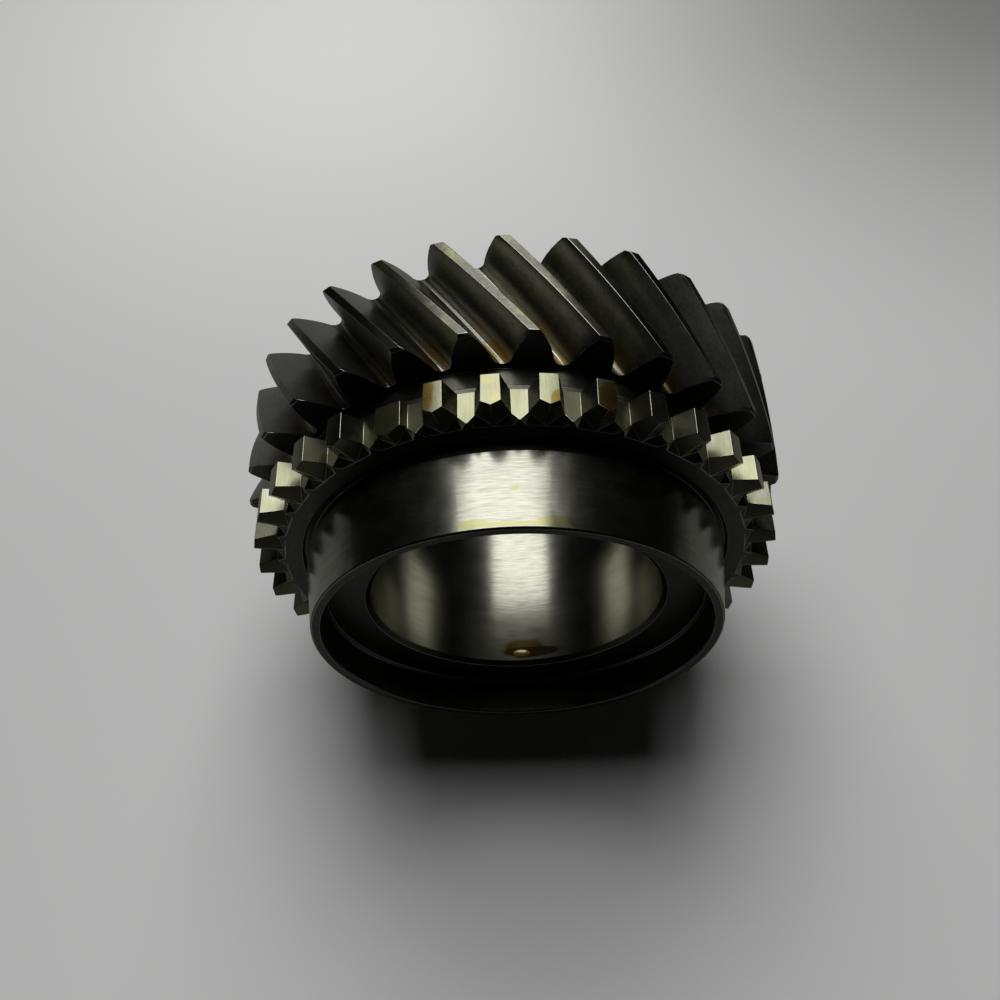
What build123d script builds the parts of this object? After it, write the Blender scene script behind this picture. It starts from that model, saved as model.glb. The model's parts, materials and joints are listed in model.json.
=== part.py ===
from build123d import *
import os
from math import acos, cos, degrees, pi, radians, sin, tan

# A left-hand helical speed gear, forged and ground in one piece with its ring of
# pointed clutch teeth and the friction cone that carries the synchroniser ring.
# The gear axis is Z, the cone end is up, and the origin is where the axis meets
# the back face that the gear rests on. All sizes are in mm and radians.

# ---- helical teeth ----
TEETH = 28
TIP_R = 41.6
ROOT_R = 35.3
BASE_R = 35.35            # involute base circle
FLANK_FOOT_R = 36.0       # the flank runs into the root curve here
ROOT_FLATS = 5            # the root curve is this many flats from flank to flank
LAND_HALF = 0.0172        # half the angle of the narrow tip land
FACE_WIDTH = 18.0
TURN = -0.01786           # twist of the teeth per mm of height, a left-hand helix
PHASE = 1.5773            # one tooth's centre at the back face
END_CHAMFER = 0.4
HELICAL_BORE_R = 33.0     # the toothed rim is made as a ring down to here

# ---- clutch (dog) teeth ----
DOGS = 33
DOG_TIP_R = 39.6
DOG_ROOT_R = 36.3
DOG_BACK_Z = 23.1
DOG_FRONT_Z = 28.1        # ridge of every tooth and the annular front face
DOG_PHASE = 0.2523
FLOOR_HALF = 1.20         # half the width of a tooth space at its floor, back end
GAP_HALF = 2.56           # half its width at the tip circle, back end
BACK_TAPER = 0.11         # how much narrower each half is at the front
POINT_ANGLE = 28.0        # slope of the pointed end facets, degrees
VALLEY_HALF = 2.256       # half the width of the pointing cut at the root circle
VALLEY_SLOPE = 0.45       # how fast that cut narrows toward the axis
BELL_R = 35.0             # the pointing cuts stop here in the front face
SHORT_DOG = -1            # this tooth stands lower than the rest
SHORT_DOG_R = 37.55

# ---- body, cone and bore ----
WEB_R = 33.5              # the web reaches a little way into the toothed rim
GROOVE_R = 34.4           # relief between the gear and the clutch ring
SHOULDER_R = 36.1
SHOULDER_Z = 22.0
SHOULDER_BREAK = 0.3      # small chamfer at the shoulder's edge
FACE_INNER_R = 32.15
FACE_BREAK = 0.3
NECK_R = 31.2
NECK_Z = 27.5
CONE_FOOT_Z = 29.5
CONE_TOP_Z = 40.7
CONE_TOP_R = 30.45
CONE_ANGLE = 6.3          # half angle of the friction cone, degrees
RIM_CHAMFER = 0.25
COUNTERBORE_R = 28.8
COUNTERBORE_Z = 35.0
COUNTERBORE_CORNER = 0.4
BORE_R = 22.0
BORE_CHAMFER = 0.7
THRUST_R = 26.5           # thrust land round the bore at the back
RECESS_R = 32.5
RECESS_DEPTH = 1.2
RECESS_DRAFT = 0.4        # how far the recess walls lean over that depth


def polar(radius, angle):
    """A point in the XY plane."""
    return (radius * cos(angle), radius * sin(angle))


def involute(angle):
    """The involute function of a pressure angle."""
    return tan(angle) - angle


def half_angle(radius):
    """Half the angle that a helical tooth fills at this radius."""
    at_tip = involute(acos(BASE_R / TIP_R))
    return LAND_HALF + at_tip - involute(acos(BASE_R / radius))


def tooth_edges(centre, pitch):
    """The land, one flank, the root curve and the next flank of one tooth."""
    radii = [TIP_R, (TIP_R + FLANK_FOOT_R) / 2, FLANK_FOOT_R]
    down = [polar(r, centre + half_angle(r)) for r in radii]
    up = [polar(r, centre + pitch - half_angle(r)) for r in reversed(radii)]
    root = ThreePointArc(down[-1], polar(ROOT_R, centre + pitch / 2), up[0])
    root_points = [root @ (i / ROOT_FLATS) for i in range(ROOT_FLATS + 1)]
    land_start = polar(TIP_R, centre - LAND_HALF)
    return [
        ThreePointArc(land_start, polar(TIP_R, centre), down[0]),
        ThreePointArc(*down),
        *Polyline(*root_points).edges(),
        ThreePointArc(*up),
    ]


def transverse_profile():
    """The outline of the toothed wheel, cut square to its axis at the back face."""
    pitch = 2 * pi / TEETH
    edges = []
    for i in range(TEETH):
        edges += tooth_edges(PHASE + i * pitch, pitch)
    return Wire(edges)


def helical_rim():
    """The toothed ring: the profile turns as it rises, and both ends are chamfered."""
    teeth = Solid.extrude_linear_with_rotation(
        transverse_profile(), (0, 0, 0), (0, 0, FACE_WIDTH), degrees(TURN * FACE_WIDTH)
    )
    low = TIP_R - END_CHAMFER
    high = FACE_WIDTH - END_CHAMFER
    blank = turned([
        (HELICAL_BORE_R, 0), (low, 0), (TIP_R + 0.01, END_CHAMFER),
        (TIP_R + 0.01, high), (low, FACE_WIDTH), (HELICAL_BORE_R, FACE_WIDTH),
    ])
    return teeth & blank


def turned(points):
    """A solid of revolution about Z from its (radius, height) corners."""
    outline = Polyline(*[(r, 0, z) for r, z in points], close=True)
    return revolve(make_face(outline), axis=Axis.Z)


def body_blank():
    """Web, relief groove, clutch ring before its teeth are cut, neck, cone and bores."""
    cone_foot_r = CONE_TOP_R + (CONE_TOP_Z - CONE_FOOT_Z) * tan(radians(CONE_ANGLE))
    back = [
        (BORE_R + BORE_CHAMFER, 0), (THRUST_R, 0),
        (THRUST_R + RECESS_DRAFT, RECESS_DEPTH), (RECESS_R - RECESS_DRAFT, RECESS_DEPTH),
        (RECESS_R, 0), (WEB_R, 0),
    ]
    groove = [
        (WEB_R, FACE_WIDTH), (GROOVE_R, FACE_WIDTH), (GROOVE_R, SHOULDER_Z),
        (SHOULDER_R - SHOULDER_BREAK, SHOULDER_Z), (SHOULDER_R, SHOULDER_Z + SHOULDER_BREAK),
    ]
    clutch_ring = [
        (SHOULDER_R, DOG_BACK_Z), (DOG_TIP_R, DOG_BACK_Z), (DOG_TIP_R, DOG_FRONT_Z),
        (FACE_INNER_R + FACE_BREAK, DOG_FRONT_Z), (FACE_INNER_R, DOG_FRONT_Z - FACE_BREAK),
        (FACE_INNER_R, NECK_Z),
    ]
    cone = [
        (NECK_R, NECK_Z), (NECK_R, CONE_FOOT_Z), (cone_foot_r, CONE_FOOT_Z),
        (CONE_TOP_R, CONE_TOP_Z - RIM_CHAMFER), (CONE_TOP_R - RIM_CHAMFER, CONE_TOP_Z),
    ]
    bores = [
        (COUNTERBORE_R + RIM_CHAMFER, CONE_TOP_Z), (COUNTERBORE_R, CONE_TOP_Z - RIM_CHAMFER),
        (COUNTERBORE_R, COUNTERBORE_Z + COUNTERBORE_CORNER),
        (COUNTERBORE_R - COUNTERBORE_CORNER, COUNTERBORE_Z),
        (BORE_R + BORE_CHAMFER, COUNTERBORE_Z), (BORE_R, COUNTERBORE_Z - BORE_CHAMFER),
        (BORE_R, BORE_CHAMFER),
    ]
    return turned(back + groove + clutch_ring + cone + bores)


def upright_loft(low, high):
    """A solid with flat sides between two outlines, each a list of 3-D corners."""
    faces = [make_face(Polyline(*corners, close=True)) for corners in (low, high)]
    return loft(faces, ruled=True)


def space_cutter():
    """The gap between two clutch teeth, centred on +X, narrowing toward the front."""
    outer_r = DOG_TIP_R + 1
    flare = (GAP_HALF - FLOOR_HALF) / (DOG_TIP_R - DOG_ROOT_R)
    ends = []
    for z in (DOG_BACK_Z - 0.02, DOG_FRONT_Z + 1):
        slim = BACK_TAPER * (z - DOG_BACK_Z) / (DOG_FRONT_Z - DOG_BACK_Z)
        foot = FLOOR_HALF - slim
        mouth = foot + flare * (outer_r - DOG_ROOT_R)
        ends.append([
            (DOG_ROOT_R, -foot, z), (outer_r, -mouth, z), (outer_r, mouth, z), (DOG_ROOT_R, foot, z),
        ])
    return upright_loft(*ends)


def pointing_outline(ridge_r, lean):
    """One end of the pointing cut: its ridge, valleys and mouth. The end stands square
    to the ridge at that radius, or leans outward by 1 mm for each mm of depth."""
    slope = tan(radians(POINT_ANGLE))
    top = DOG_FRONT_Z + 1
    reach = VALLEY_HALF + VALLEY_SLOPE * (ridge_r - DOG_ROOT_R)
    if lean:
        valley_r = ridge_r + slope * reach / (1 - slope * VALLEY_SLOPE)
        mouth_r = ridge_r - 1
    else:
        valley_r = mouth_r = ridge_r
    valley = VALLEY_HALF + VALLEY_SLOPE * (valley_r - DOG_ROOT_R)
    mouth = (VALLEY_HALF + VALLEY_SLOPE * (mouth_r - DOG_ROOT_R)) * (1 + slope) + 1
    floor_z = DOG_FRONT_Z - slope * valley
    return [
        (ridge_r, 0, DOG_FRONT_Z), (valley_r, valley, floor_z), (mouth_r, mouth, top),
        (mouth_r, -mouth, top), (valley_r, -valley, floor_z),
    ]


def pointing_cutter():
    """What points one tooth: two facets that slope back from its ridge, and the walls
    that rise from them to the middle of each space and, sloping, to the front face."""
    return upright_loft(pointing_outline(BELL_R, True), pointing_outline(DOG_TIP_R + 1, False))


def clutch_cutters():
    """Every space and pointing cut round the ring, and the cut that lowers one tooth."""
    pitch = 360 / DOGS
    start = degrees(DOG_PHASE)
    space = space_cutter()
    pointing = pointing_cutter()
    cuts = []
    for i in range(DOGS):
        cuts.append(Rot(Z=start + (i + 0.5) * pitch) * space)
        cuts.append(Rot(Z=start + i * pitch) * pointing)
    lowered = Pos(SHORT_DOG_R + 2, 0, (DOG_BACK_Z + DOG_FRONT_Z) / 2) * Box(4, 6, 6)
    cuts.append(Rot(Z=start - SHORT_DOG * pitch) * lowered)
    return cuts


def speed_gear():
    """The whole gear as one solid."""
    body = body_blank() - clutch_cutters()
    return body + helical_rim()


gear = speed_gear()
gear.label = "speed_gear"
os.makedirs("parts", exist_ok=True)
export_step(gear, "parts/speed_gear.step")
print("volume", round(gear.volume), "mm3", gear.bounding_box())
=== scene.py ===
import json
from math import cos, hypot, pi, radians, sin

import bmesh
import bpy
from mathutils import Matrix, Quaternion, Vector


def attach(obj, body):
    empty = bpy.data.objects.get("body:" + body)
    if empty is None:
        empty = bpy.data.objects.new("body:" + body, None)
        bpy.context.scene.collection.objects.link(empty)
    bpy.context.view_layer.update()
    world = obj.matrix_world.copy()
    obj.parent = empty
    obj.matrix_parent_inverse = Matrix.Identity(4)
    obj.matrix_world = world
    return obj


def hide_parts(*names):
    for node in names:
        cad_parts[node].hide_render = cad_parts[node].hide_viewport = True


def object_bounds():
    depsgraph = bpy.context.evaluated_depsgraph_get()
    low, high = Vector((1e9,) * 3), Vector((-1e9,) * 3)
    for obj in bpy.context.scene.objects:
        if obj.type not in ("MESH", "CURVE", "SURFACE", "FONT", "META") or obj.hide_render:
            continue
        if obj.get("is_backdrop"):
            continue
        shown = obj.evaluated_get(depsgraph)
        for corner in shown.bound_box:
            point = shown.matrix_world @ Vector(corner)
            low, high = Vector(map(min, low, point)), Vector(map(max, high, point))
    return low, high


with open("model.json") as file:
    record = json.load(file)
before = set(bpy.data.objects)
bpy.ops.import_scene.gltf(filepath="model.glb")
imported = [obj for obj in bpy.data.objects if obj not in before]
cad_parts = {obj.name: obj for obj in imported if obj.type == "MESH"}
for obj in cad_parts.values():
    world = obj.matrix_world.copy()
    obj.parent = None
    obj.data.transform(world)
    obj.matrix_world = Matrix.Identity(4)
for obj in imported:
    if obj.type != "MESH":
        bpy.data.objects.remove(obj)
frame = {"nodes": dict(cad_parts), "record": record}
cad_low, cad_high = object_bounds()
MM = 0.001
print("solids", [round(v / MM, 1) for v in cad_high - cad_low], "mm")

# %% [markdown]
# ## The sizes that the finish needs
# Each finish belongs to a band of the gear, and a band is easy to say in radius and
# height, because nearly everything here was turned round one axis. The bore radius comes
# from the record and the tip radius from the solids' box, so these two follow the part.
# %% Radii and heights of the bands
mounts = {m["name"]: m for m in frame["record"]["mounts"]}
BORE_R = mounts["bore"]["dims"]["r_mm"] * MM
TIP_R = cad_high.x
FACE_WIDTH = 18.0 * MM
LAND_DEPTH = 0.2 * MM
DOG_BACK_Z = 23.1 * MM
DOG_FRONT_Z = 28.1 * MM
DOG_ROOT_R = 36.3 * MM
CONE_FOOT_Z = 29.5 * MM
CONE_R = 30.4 * MM
print("bore", round(BORE_R / MM, 2), "mm, tips", round(TIP_R / MM, 2), "mm")


def on_gear(angle_deg, radius_mm, height_mm):
    """A place on the gear: an angle round the axis, a radius and a height."""
    angle = radians(angle_deg)
    return Vector((radius_mm * cos(angle), radius_mm * sin(angle), height_mm)) * MM


# %% [markdown]
# ## The camera
# The gear is looked at from its cone side, a little above the axis, and with the cone
# toward the bottom of the view. So the camera hangs upside down: it first looks at the
# origin, then rolls half a turn, and then turns and tips by a few degrees.
# %% Make the camera
CAMERA_DISTANCE = 186.6 * MM
CAMERA_FROM_AXIS = radians(52.48)
CAMERA_ROLL = radians(178.07)
CAMERA_TURN = radians(0.541)
CAMERA_TIP = radians(-4.23)
LENS_MM = 39.77
CLIP_START = 10 * MM

eye = CAMERA_DISTANCE * Vector((sin(CAMERA_FROM_AXIS), 0, cos(CAMERA_FROM_AXIS)))
aim = (-eye).to_track_quat("-Z", "Y")
roll = Quaternion((0, 0, 1), CAMERA_ROLL)
turn = Quaternion((0, 1, 0), CAMERA_TURN)
tip = Quaternion((1, 0, 0), CAMERA_TIP)

camera_data = bpy.data.cameras.new("camera")
camera_data.lens = LENS_MM
camera_data.clip_start = CLIP_START
camera = bpy.data.objects.new("camera", camera_data)
bpy.context.scene.collection.objects.link(camera)
camera.location = eye
camera.rotation_mode = "QUATERNION"
camera.rotation_quaternion = aim @ roll @ turn @ tip
bpy.context.scene.camera = camera
bpy.context.scene.view_settings.view_transform = "Standard"
print("camera at", [round(v / MM) for v in eye], "mm")

# %% [markdown]
# ## Small tools for node trees
# A material is a graph. Adding and linking nodes by hand is long, so two helpers do it:
# one adds a node and fills in its inputs, the other gives a maths node of two values.
# An input may be a plain value or another node's output.
# %% Node helpers
def fill(tree, socket, value):
    """Sets a node's input to a value, or links another node's output to it."""
    if isinstance(value, bpy.types.NodeSocket):
        tree.links.new(value, socket)
    elif value is not None:
        socket.default_value = value


def add_node(tree, kind, inputs=(), **settings):
    """Adds one node. Inputs are (name or index, value) pairs."""
    node = tree.nodes.new(kind)
    for name, value in settings.items():
        setattr(node, name, value)
    for name, value in inputs:
        fill(tree, node.inputs[name], value)
    return node


def maths(tree, operation, a, b):
    """The result of one maths node."""
    return add_node(tree, "ShaderNodeMath", [(0, a), (1, b)], operation=operation).outputs[0]


def vector_maths(tree, operation, a, b=None):
    """One vector maths node, whose result is a vector or, for a length, a value."""
    return add_node(tree, "ShaderNodeVectorMath", [(0, a), (1, b)], operation=operation).outputs


def ramp(tree, value, low, high, to_low=0.0, to_high=1.0, smooth=True):
    """Maps a value from one span to another, without going past its ends."""
    node = add_node(tree, "ShaderNodeMapRange", [
        ("Value", value), ("From Min", low), ("From Max", high),
        ("To Min", to_low), ("To Max", to_high),
    ])
    node.interpolation_type = "SMOOTHSTEP" if smooth else "LINEAR"
    return node.outputs["Result"]


def mix_colors(tree, mask, a, b):
    """Colour a where the mask is 0 and colour b where it is 1."""
    node = add_node(tree, "ShaderNodeMix", data_type="RGBA")
    for index, value in ((0, mask), (6, a), (7, b)):
        fill(tree, node.inputs[index], value)
    return node.outputs[2]


def noise(tree, position, scale, detail=3.0, roughness=0.5):
    """The value of a 3-D noise, from 0 to 1."""
    node = add_node(tree, "ShaderNodeTexNoise", [
        ("Vector", position), ("Scale", scale), ("Detail", detail), ("Roughness", roughness),
    ])
    return node.outputs["Fac"]


def object_place(tree):
    """Where a point is on its piece, in metres."""
    return add_node(tree, "ShaderNodeTexCoord").outputs["Object"]


def new_group(name, inputs, outputs):
    """An empty node group with named sockets, and its two end nodes."""
    tree = bpy.data.node_groups.new(name, "ShaderNodeTree")
    for label, kind, value in inputs:
        socket = tree.interface.new_socket(label, in_out="INPUT", socket_type=kind)
        socket.default_value = value
    for label in outputs:
        tree.interface.new_socket(label, in_out="OUTPUT", socket_type=FLOAT)
    return tree, tree.nodes.new("NodeGroupInput"), tree.nodes.new("NodeGroupOutput")


def use_group(tree, group, inputs=()):
    """Places a group in a tree and fills in its inputs."""
    return add_node(tree, "ShaderNodeGroup", inputs, node_tree=group).outputs


FLOAT = "NodeSocketFloat"
POINT = "NodeSocketVector"

# %% [markdown]
# ## Grinding marks
# A grinding wheel leaves fine scratches along its path. On the cone and in the bore the
# path is a circle round the axis, and on the clutch teeth it runs along the axis. Noise
# that is squeezed across the path and stretched along it looks just like that. The group
# takes how finely to squeeze each axis, so one group serves every surface.
# %% The grinding marks group
FINE_SHARE = 0.65
COARSE_SHARE = 0.35
COARSE_SCALE = 0.23
PATCH_SCALE = 160.0

marks_group, inner, outer = new_group(
    "grinding_marks",
    [("Squeeze", POINT, (500.0, 500.0, 6000.0)), ("Patchiness", FLOAT, 0.5)],
    ["Marks", "Patches"],
)
place = object_place(marks_group)
squeezed = vector_maths(marks_group, "MULTIPLY", place, inner.outputs["Squeeze"])[0]
fine = noise(marks_group, squeezed, 1.0, detail=2.0)
coarse = noise(marks_group, squeezed, COARSE_SCALE, detail=2.0)
patches = noise(marks_group, place, PATCH_SCALE, detail=3.0, roughness=0.6)
fine_part = maths(marks_group, "MULTIPLY", fine, FINE_SHARE)
coarse_part = maths(marks_group, "MULTIPLY", coarse, COARSE_SHARE)
centred = maths(marks_group, "SUBTRACT", patches, 0.5)
uneven = maths(marks_group, "MULTIPLY", inner.outputs["Patchiness"], centred)
fill(marks_group, outer.inputs["Marks"], maths(marks_group, "ADD", fine_part, coarse_part))
fill(marks_group, outer.inputs["Patches"], maths(marks_group, "ADD", uneven, 0.5))
print("grinding marks group ready")

# %% [markdown]
# ## The film of oil
# The oil is thin and greenish where it only wets the steel. A broad noise says where that
# is: the more oil a finish holds, the lower the level above which the noise counts as
# wet. A very fine noise adds the specks of dust that stick in the film.
# %% The film group
DRY_LEVEL = 0.95
LEVEL_DROP = 0.7
SOFT_BELOW = 0.12
SOFT_ABOVE = 0.06
SPECK_SCALE = 2600.0
SPECK_FROM = 0.66
SPECK_TO = 0.72

film_group, inner, outer = new_group(
    "oil_film", [("Amount", FLOAT, 0.5), ("Size", FLOAT, 220.0)], ["Film", "Specks"],
)
place = object_place(film_group)
cloud = noise(film_group, place, inner.outputs["Size"], detail=4.0, roughness=0.62)
drop = maths(film_group, "MULTIPLY", inner.outputs["Amount"], LEVEL_DROP)
level = maths(film_group, "SUBTRACT", DRY_LEVEL, drop)
dry = maths(film_group, "SUBTRACT", level, SOFT_BELOW)
wet = maths(film_group, "ADD", level, SOFT_ABOVE)
dust = noise(film_group, place, SPECK_SCALE, detail=2.0, roughness=0.7)
fill(film_group, outer.inputs["Film"], ramp(film_group, cloud, dry, wet))
fill(film_group, outer.inputs["Specks"], ramp(film_group, dust, SPECK_FROM, SPECK_TO))
print("film group ready")

# %% [markdown]
# ## Stains
# The oil turns straw yellow and then amber where it has gathered. A stain has a middle
# and a reach along each axis. The group measures how far a point is from the middle, as
# a part of the reach, and a little noise makes the outline ragged.
# %% The stain group
RAGGED_SCALE = 900.0
STAIN_OUTSIDE = 1.1
STAIN_INSIDE = 0.8

stain_group, inner, outer = new_group(
    "oil_spot",
    [("Middle", POINT, (0, 0, 0)), ("Reach", POINT, (1, 1, 1)), ("Raggedness", FLOAT, 0.4)],
    ["Spot"],
)
place = object_place(stain_group)
away = vector_maths(stain_group, "SUBTRACT", place, inner.outputs["Middle"])[0]
scaled = vector_maths(stain_group, "DIVIDE", away, inner.outputs["Reach"])[0]
distance = vector_maths(stain_group, "LENGTH", scaled)["Value"]
centred = maths(stain_group, "SUBTRACT", noise(stain_group, place, RAGGED_SCALE, detail=4.0), 0.5)
ragged = maths(stain_group, "MULTIPLY", inner.outputs["Raggedness"], centred)
reached = maths(stain_group, "ADD", distance, ragged)
fill(stain_group, outer.inputs["Spot"], ramp(stain_group, reached, STAIN_OUTSIDE, STAIN_INSIDE))
print("stain group ready")

# %% [markdown]
# ## Oil in the valleys
# Between the slanted teeth the oil has run down to the roots and toward the front ends.
# This group is strongest low in a valley and near its front, and 0 on the upper flanks.
# A noise is multiplied in, so that the pool's edge wanders from valley to valley.
# %% The valley group
VALLEY_TOP_R = 38.3 * MM
VALLEY_FLOOR_R = 36.4 * MM
POOL_START_Z = 8.0 * MM
POOL_FULL_Z = 15.0 * MM
VALLEY_NOISE_SCALE = 260.0
VALLEY_GAP_FROM = 0.38
VALLEY_GAP_TO = 0.55
VALLEY_STRENGTH = 0.8

valley_group, inner, outer = new_group("valley_oil", [], ["Oil"])
place = object_place(valley_group)
flat = vector_maths(valley_group, "MULTIPLY", place, (1.0, 1.0, 0.0))[0]
radius = vector_maths(valley_group, "LENGTH", flat)["Value"]
height = add_node(valley_group, "ShaderNodeSeparateXYZ", [(0, place)]).outputs["Z"]
low = ramp(valley_group, radius, VALLEY_TOP_R, VALLEY_FLOOR_R)
front = ramp(valley_group, height, POOL_START_Z, POOL_FULL_Z)
cloud = noise(valley_group, place, VALLEY_NOISE_SCALE, detail=4.0)
ragged = ramp(valley_group, cloud, VALLEY_GAP_FROM, VALLEY_GAP_TO)
wet = maths(valley_group, "MULTIPLY", maths(valley_group, "MULTIPLY", low, front), ragged)
fill(valley_group, outer.inputs["Oil"], maths(valley_group, "MULTIPLY", wet, VALLEY_STRENGTH))
print("valley group ready")

# %% [markdown]
# ## Steel
# Every finish here is the same bare steel, so one function builds a material from what
# differs: how finely and which way it was ground, how deep the marks are, how glossy it
# is, how much oil it holds and how much painted shade or painted highlight its colour
# carries. A polished metal shows mainly what is around it. This steel is hardened and
# wet with oil, so it gives back only about a quarter of the light, a little less of it
# blue, and the rest of its darkness comes from the dark room and, on some finishes,
# from painted shade.
# %% The steel function
STEEL = (0.27, 0.268, 0.222, 1.0)
FILM_GREEN = (0.17, 0.175, 0.085, 1.0)
STRAW = (0.215, 0.21, 0.10, 1.0)
AMBER = (0.13, 0.085, 0.014, 1.0)
DEEP_AMBER = (0.06, 0.034, 0.004, 1.0)
DULL = 0.62
MARKS_DULL = 0.3
MARKS_BRIGHT = 0.6
FILM_STRENGTH = 0.6
STAIN_STRENGTH = 0.9
GLOSS_FROM = 0.3
GLOSS_TO = 0.7
SPECK_HEIGHT = 0.6


def darker(color, share):
    """The same colour with only a share of its light."""
    return tuple(share * c for c in color[:3]) + (1.0,)


def stain(middle, across_mm, along_mm, hue):
    """A patch of oil: its middle, half its width round the axis, half its height."""
    return middle, Vector((across_mm, across_mm, along_mm)) * MM, hue


def steel(name, squeeze, depth, rough, oil, painted_light_share=1.0, stains=(), valleys=False):
    """A ground steel: squeeze and depth shape the marks, rough is its gloss span, and the share puts
    painted light into its colour, darker below 1 and brighter above.
    """
    material = bpy.data.materials.new(name)
    material.use_nodes = True
    tree = material.node_tree
    shader = tree.nodes["Principled BSDF"]
    marks = use_group(tree, marks_group, [("Squeeze", squeeze)])
    film = use_group(tree, film_group, [("Amount", oil)])
    # Painted light: a share below 1 is painted shade and a share above 1 a painted highlight.
    bare_with_painted_light = darker(STEEL, painted_light_share)
    streaks = ramp(tree, marks["Marks"], MARKS_DULL, MARKS_BRIGHT, smooth=False)
    color = mix_colors(tree, streaks, darker(bare_with_painted_light, DULL), bare_with_painted_light)
    wet = maths(tree, "MULTIPLY", film["Film"], FILM_STRENGTH)
    color = mix_colors(tree, wet, color, FILM_GREEN)
    for middle, reach, hue in stains:
        spot = use_group(tree, stain_group, [("Middle", middle), ("Reach", reach)])["Spot"]
        color = mix_colors(tree, maths(tree, "MULTIPLY", spot, STAIN_STRENGTH), color, hue)
    if valleys:
        color = mix_colors(tree, use_group(tree, valley_group)["Oil"], color, AMBER)
    fill(tree, shader.inputs["Base Color"], color)
    shader.inputs["Metallic"].default_value = 1.0
    gloss = ramp(tree, marks["Patches"], GLOSS_FROM, GLOSS_TO, rough[0], rough[1], smooth=False)
    fill(tree, shader.inputs["Roughness"], gloss)
    specks = maths(tree, "MULTIPLY", film["Specks"], SPECK_HEIGHT)
    height = maths(tree, "ADD", marks["Marks"], specks)
    bump = add_node(tree, "ShaderNodeBump", [("Height", height), ("Distance", depth), ("Strength", 1.0)])
    fill(tree, shader.inputs["Normal"], bump.outputs["Normal"])
    return material


# %% [markdown]
# ## The stains' places
# Oil gathers where something stops it: along the cone's front edge, low in the bore and
# at the corners of the clutch teeth. Each stain is given by its angle round the axis, its
# radius and its height, because that is how a place on a gear is found.
# %% Place the stains
CONE_STAIN_R = 30.6
CLUTCH_LAND_R = 39.6
LOW_TOOTH_R = 37.5

cone_stains = [
    stain(on_gear(0, 30.0, 40.0), 6.0, 0.35, STRAW),
    stain(on_gear(10, 30.1, 39.7), 2.2, 0.7, STRAW),
    stain(on_gear(-10, 30.1, 39.6), 2.6, 0.8, STRAW),
    stain(on_gear(-0.5, CONE_STAIN_R, 35.0), 0.8, 0.45, STRAW),
    stain(on_gear(-30, CONE_STAIN_R, 33.5), 3.0, 1.2, FILM_GREEN),
    stain(on_gear(34, CONE_STAIN_R, 34.5), 2.6, 1.6, FILM_GREEN),
]
bore_stains = [
    stain(on_gear(183, BORE_R / MM, 32.2), 3.6, 1.8, AMBER),
    stain(on_gear(186, BORE_R / MM, 32.8), 5.2, 1.0, DEEP_AMBER),
]
clutch_stains = [
    stain(on_gear(17.4, CLUTCH_LAND_R, 25.0), 2.3, 4.0, AMBER),
    stain(on_gear(25.4, LOW_TOOTH_R, 25.0), 3.0, 4.0, FILM_GREEN),
    stain(on_gear(4.0, CLUTCH_LAND_R, 24.0), 1.0, 0.8, STRAW),
    stain(on_gear(2.5, CLUTCH_LAND_R, 27.2), 0.8, 1.0, STRAW),
    stain(on_gear(-9.3, CLUTCH_LAND_R, 27.6), 1.4, 2.0, AMBER),
    stain(on_gear(-19.5, CLUTCH_LAND_R, 26.5), 2.2, 3.4, AMBER),
]
print("stains", len(cone_stains), len(bore_stains), len(clutch_stains))

# %% [markdown]
# ## The finishes
# The cone and the bore are ground very finely round the axis. The flanks of the slanted
# teeth are ground too but duller, their narrow lands are the turned blank's own skin, and
# the end faces are only turned, so they are the roughest. The flanks, the lands, the clutch
# teeth and most of all the end faces are painted darker, as painted shade, and the broken
# edges are painted brighter, as a painted highlight.
# %% Make the finishes
ROUND_FINE = (450.0, 450.0, 7000.0)
ALONG_AXIS = (5200.0, 5200.0, 420.0)
EVEN = (2200.0, 2200.0, 2200.0)

finishes = [
    steel("ground_cone", ROUND_FINE, 0.003 * MM, (0.16, 0.28), oil=0.3, stains=cone_stains),
    steel("ground_bore", ROUND_FINE, 0.002 * MM, (0.16, 0.26), oil=0.25, stains=bore_stains),
    # The shares below paint shade into the flanks, lands, clutch teeth and end faces, and a painted
    # highlight onto the broken edges.
    steel("tooth_flank", EVEN, 0.006 * MM, (0.26, 0.38), oil=0.4, painted_light_share=0.66, valleys=True),
    steel("tooth_land", EVEN, 0.004 * MM, (0.24, 0.36), oil=0.5, painted_light_share=0.34),
    steel("clutch_tooth", ALONG_AXIS, 0.005 * MM, (0.20, 0.36), oil=0.75, painted_light_share=0.95, stains=clutch_stains),
    steel("turned_face", EVEN, 0.002 * MM, (0.28, 0.40), oil=0.3, painted_light_share=0.3),
    steel("broken_edge", EVEN, 0.001 * MM, (0.20, 0.30), oil=0.1, painted_light_share=1.1),
]
order = [finish.name for finish in finishes]
print("finishes", order)

# %% [markdown]
# ## The gear's skin
# A solid from a CAD kernel has perfectly sharp edges, and real steel never has: each edge
# is broken by a tiny chamfer that shows as a thin bright line. We copy the solid's mesh,
# merge its loose triangles, and dissolve the lines between triangles of one flat face.
# %% Copy and merge the solid's mesh
MERGE_DISTANCE = 0.002 * MM
FLAT_ANGLE = radians(0.3)

bpy.ops.object.select_all(action="DESELECT")
node = frame["nodes"]["speed_gear"]
node.select_set(True)
bpy.context.view_layer.objects.active = node
bpy.ops.object.duplicate()
gear = bpy.context.active_object
gear.name = "oiled_gear"
gear.data.materials.clear()
for finish in finishes:
    gear.data.materials.append(finish)

bpy.ops.object.mode_set(mode="EDIT")
bpy.ops.mesh.select_all(action="SELECT")
bpy.ops.mesh.remove_doubles(threshold=MERGE_DISTANCE)
bpy.ops.mesh.dissolve_limited(angle_limit=FLAT_ANGLE)
bpy.ops.object.mode_set(mode="OBJECT")
print("merged", len(gear.data.vertices), "points", len(gear.data.polygons), "faces")

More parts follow.
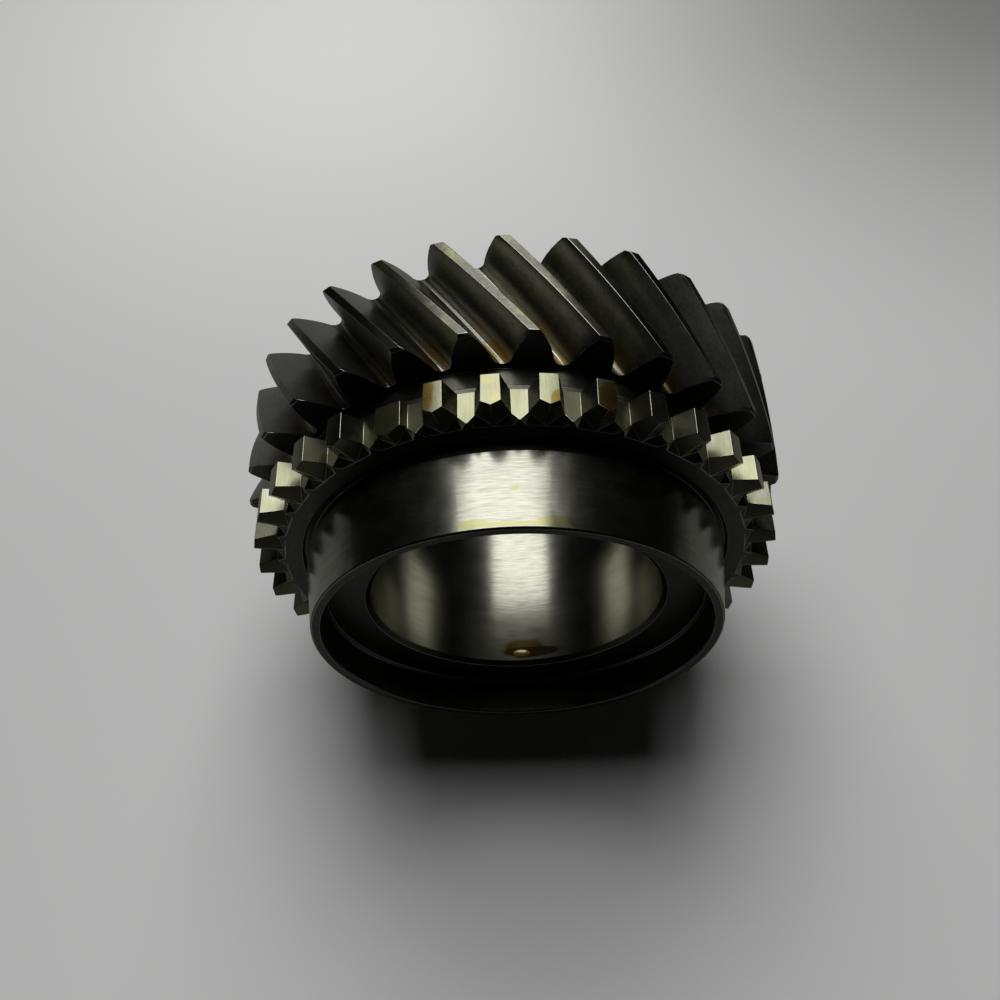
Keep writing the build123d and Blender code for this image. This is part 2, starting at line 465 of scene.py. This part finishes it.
# %% [markdown]
# ## Which face gets which finish
# A face is known by where it is and which way it looks. The middle of the face gives its
# radius and height, and its normal says whether it looks along the axis or away from it:
# a wall's normal has hardly any part along the axis, and a tooth's flank only some.
# %% Sort the faces
SMALL = 0.1 * MM
MARGIN = 0.5 * MM
WALL = 0.3
FLANK = 0.65
FLANK_INNER_R = DOG_ROOT_R - 1.5 * MM


def finish_of(face):
    """The finish's name for one face of the gear."""
    radius = hypot(face.center.x, face.center.y)
    height = face.center.z
    along = abs(face.normal.z)
    if radius < BORE_R + SMALL and along < WALL:
        return "ground_bore"
    if height > CONE_FOOT_Z and radius > CONE_R - MARGIN and along < WALL:
        return "ground_cone"
    if DOG_BACK_Z - SMALL < height < DOG_FRONT_Z - SMALL and radius > DOG_ROOT_R - MARGIN:
        return "clutch_tooth"
    if height < FACE_WIDTH and radius > FLANK_INNER_R and along < FLANK:
        return "tooth_land" if radius > TIP_R - LAND_DEPTH else "tooth_flank"
    return "turned_face"


for face in gear.data.polygons:
    face.material_index = order.index(finish_of(face))
counts = {name: 0 for name in order}
for face in gear.data.polygons:
    counts[order[face.material_index]] += 1
print("faces", counts)

# %% [markdown]
# ## Break the edges
# The edges that turn by more than 24 degrees are the real ones. The bevel operator cuts
# them back by less than a tenth of a millimetre and gives the new faces a finish of their
# own, a little brighter in colour than the steel as a painted highlight. Weighted normals
# then keep the flat faces beside them looking flat.
# %% Bevel and smooth
EDGE_BREAK = 0.07 * MM
EDGE_STEPS = 2
SHARP = radians(24)
SMOOTH_BELOW = radians(35)

bpy.ops.object.select_all(action="DESELECT")
gear.select_set(True)
bpy.context.view_layer.objects.active = gear
bpy.ops.object.mode_set(mode="EDIT")
bpy.ops.mesh.select_all(action="DESELECT")
bpy.ops.mesh.select_mode(type="EDGE")
mesh = bmesh.from_edit_mesh(gear.data)
for edge in mesh.edges:
    edge.select = edge.is_manifold and edge.calc_face_angle() > SHARP
print("sharp edges", sum(edge.select for edge in mesh.edges))
bmesh.update_edit_mesh(gear.data)
# The new faces take the broken edge finish, whose brighter colour is a painted highlight.
bpy.ops.mesh.bevel(
    offset=EDGE_BREAK, segments=EDGE_STEPS, affect="EDGES", clamp_overlap=False,
    material=order.index("broken_edge"),
)
bpy.ops.object.mode_set(mode="OBJECT")
bpy.ops.object.shade_smooth_by_angle(angle=SMOOTH_BELOW)
weighted = gear.modifiers.new("even_normals", "WEIGHTED_NORMAL")
weighted.keep_sharp = True
bpy.ops.object.modifier_apply(modifier=weighted.name)
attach(gear, "root")
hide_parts("speed_gear")
print("skin", sum(len(p.vertices) - 2 for p in gear.data.polygons), "triangles")

# %% [markdown]
# ## A pool of oil in the bore
# A little oil has gathered low in the bore. It is a shallow dome with a wandering edge:
# a ball is flattened, its lower part is cut away inside the steel, and its points are
# nudged at random by the same seed each time and smoothed.
# %% Make the pool's shape
POOL_ANGLE = 181.5
POOL_Z = 33.0
POOL_SINK = 0.04
POOL_CUT = 0.1
POOL_HALF = Vector((0.35, 1.5, 0.8)) * MM
POOL_NUDGE = 0.12 * MM
POOL_SEED = 4

bpy.ops.object.select_all(action="DESELECT")
bpy.ops.mesh.primitive_uv_sphere_add(
    segments=32, ring_count=16, radius=1.0,
    location=on_gear(POOL_ANGLE, BORE_R / MM + POOL_SINK, POOL_Z),
)
pool = bpy.context.active_object
pool.name = "oil_pool"
pool.scale = POOL_HALF
bpy.ops.object.transform_apply(location=True, rotation=True, scale=True)
bpy.ops.object.mode_set(mode="EDIT")
bpy.ops.mesh.select_all(action="SELECT")
bpy.ops.mesh.bisect(
    plane_co=on_gear(POOL_ANGLE, BORE_R / MM + POOL_CUT, POOL_Z), plane_no=(-1, 0, 0),
    use_fill=True, clear_outer=True,
)
bpy.ops.mesh.select_all(action="SELECT")
bpy.ops.transform.vertex_random(offset=POOL_NUDGE, uniform=0.0, normal=0.0, seed=POOL_SEED)
bpy.ops.mesh.vertices_smooth(factor=0.5, repeat=4)
bpy.ops.mesh.normals_make_consistent(inside=False)
bpy.ops.object.mode_set(mode="OBJECT")
bpy.ops.object.shade_smooth()
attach(pool, "root")
print("pool", [round(v / MM, 2) for v in pool.dimensions], "mm")

# %% [markdown]
# ## The pooled oil
# Pooled oil is amber, a little cloudy, and its skin is as smooth as glass. The cloud is
# a mix of two ambers by a noise, and a clear coat gives the small, sharp highlight.
# %% Make the pooled oil
CLOUD_SCALE = 900.0
OIL_DARK = (0.30, 0.17, 0.015, 1.0)
OIL_LIGHT = (0.42, 0.30, 0.05, 1.0)
OIL_IOR = 1.47

oil = bpy.data.materials.new("pooled_oil")
oil.use_nodes = True
tree = oil.node_tree
shader = tree.nodes["Principled BSDF"]
cloud = noise(tree, object_place(tree), CLOUD_SCALE, detail=2.0)
fill(tree, shader.inputs["Base Color"], mix_colors(tree, cloud, OIL_DARK, OIL_LIGHT))
shader.inputs["Roughness"].default_value = 0.08
shader.inputs["IOR"].default_value = OIL_IOR
shader.inputs["Coat Weight"].default_value = 1.0
shader.inputs["Coat Roughness"].default_value = 0.03
pool.data.materials.append(oil)
print("oil with an index of", OIL_IOR)

# %% [markdown]
# ## The table
# The gear lies on the tips of its teeth, so the pale table touches them on the side away
# from the light. Here that side is -X, and the table stands upright. A table is never lit
# quite evenly, so its colour carries painted light: three broad patches, two of painted
# light and one of painted shade, are mixed into it. It shows one side only, so that it
# hides nothing from behind.
# %% Make the table's shape
TABLE_SIZE = 3.0
TABLE_GAP = 0.05 * MM

bpy.ops.object.select_all(action="DESELECT")
bpy.ops.mesh.primitive_grid_add(
    x_subdivisions=4, y_subdivisions=4, size=TABLE_SIZE,
    location=(cad_low.x - TABLE_GAP, 0, 0), rotation=(0, pi / 2, 0),
)
table = bpy.context.active_object
table.name = "table"
bpy.ops.object.transform_apply(location=True, rotation=True, scale=True)
table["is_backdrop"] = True
print("table at x =", round(table.data.vertices[0].co.x / MM, 2), "mm")

# %% [markdown]
# ## The table's paint
# The patches are measured in the plane of the table. The steel should see a dim room, not
# a bright table, so the pale colour is only for the camera's own rays, and every
# reflection meets a grey. Where the back of the table is seen, it is clear.
# %% Paint the table
PALE = (0.74, 0.74, 0.735, 1.0)
DIM = (0.30, 0.30, 0.29, 1.0)
PAINTED_LIGHT_PATCHES = (
    (Vector((0, 0.05, -0.16)), 0.13, (0.88, 0.88, 0.87, 1.0)),
    (Vector((0, -0.15, -0.19)), 0.17, (0.26, 0.26, 0.255, 1.0)),
    (Vector((0, 0.0, 0.19)), 0.24, (1.0, 1.0, 0.995, 1.0)),
)
TABLE_ROUGHNESS = 0.75

paint = bpy.data.materials.new("table_paint")
paint.use_nodes = True
tree = paint.node_tree
shader = tree.nodes["Principled BSDF"]
flat = vector_maths(tree, "MULTIPLY", object_place(tree), (0.0, 1.0, 1.0))[0]
color = PALE
# The patches mix painted light into the colour, and the darker one painted shade.
for middle, reach, hue in PAINTED_LIGHT_PATCHES:
    away = vector_maths(tree, "DISTANCE", flat, middle)["Value"]
    color = mix_colors(tree, ramp(tree, away, reach, 0.0), color, hue)
seen = add_node(tree, "ShaderNodeLightPath").outputs["Is Camera Ray"]
fill(tree, shader.inputs["Base Color"], mix_colors(tree, seen, DIM, color))
shader.inputs["Roughness"].default_value = TABLE_ROUGHNESS
back = add_node(tree, "ShaderNodeNewGeometry").outputs["Backfacing"]
clear = add_node(tree, "ShaderNodeBsdfTransparent").outputs[0]
one_sided = add_node(tree, "ShaderNodeMixShader", [(0, back), (1, shader.outputs[0]), (2, clear)])
tree.links.new(one_sided.outputs[0], tree.nodes["Material Output"].inputs["Surface"])
table.data.materials.append(paint)
print("table painted with", len(PAINTED_LIGHT_PATCHES), "patches")

# %% [markdown]
# ## Light
# One broad, soft lamp hangs over the gear, on the side away from the table and a little
# behind it. Its reflection is the white band on the cone and in the bore. The room is
# nearly dark to the steel, which is what makes the rest of it so deep.
# %% Lamp and room
LAMP_TURN = radians(4)
LAMP_TILT = radians(-26)
LAMP_DISTANCE = 0.5
LAMP_WIDTH = 0.38
LAMP_HEIGHT = 0.52
LAMP_WATTS = 2.3
DARK_ROOM = (0.004, 0.004, 0.004, 1.0)
SEEN_ROOM = (0.5, 0.5, 0.495, 1.0)

toward = Vector((cos(LAMP_TILT) * cos(LAMP_TURN), cos(LAMP_TILT) * sin(LAMP_TURN), sin(LAMP_TILT)))
light = bpy.data.lights.new("overhead", "AREA")
light.shape = "RECTANGLE"
light.size = LAMP_WIDTH
light.size_y = LAMP_HEIGHT
light.energy = LAMP_WATTS
lamp = bpy.data.objects.new("overhead", light)
bpy.context.scene.collection.objects.link(lamp)
lamp.location = LAMP_DISTANCE * toward
lamp.rotation_mode = "QUATERNION"
lamp.rotation_quaternion = toward.to_track_quat("Z", "Y")
lamp.visible_camera = False

world = bpy.data.worlds.new("room")
world.use_nodes = True
bpy.context.scene.world = world
tree = world.node_tree
seen = add_node(tree, "ShaderNodeLightPath").outputs["Is Camera Ray"]
fill(tree, tree.nodes["Background"].inputs["Color"], mix_colors(tree, seen, DARK_ROOM, SEEN_ROOM))
print("lamp and room ready")

# %% [markdown]
# ## Finish
# The dressed gear should fill the same box as the solids, so how much its box has grown is printed.
# %% Print how much the box has grown
low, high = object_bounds()
print("grown by", [round((a - b) / MM, 3) for a, b in zip(high - low, cad_high - cad_low)], "mm")
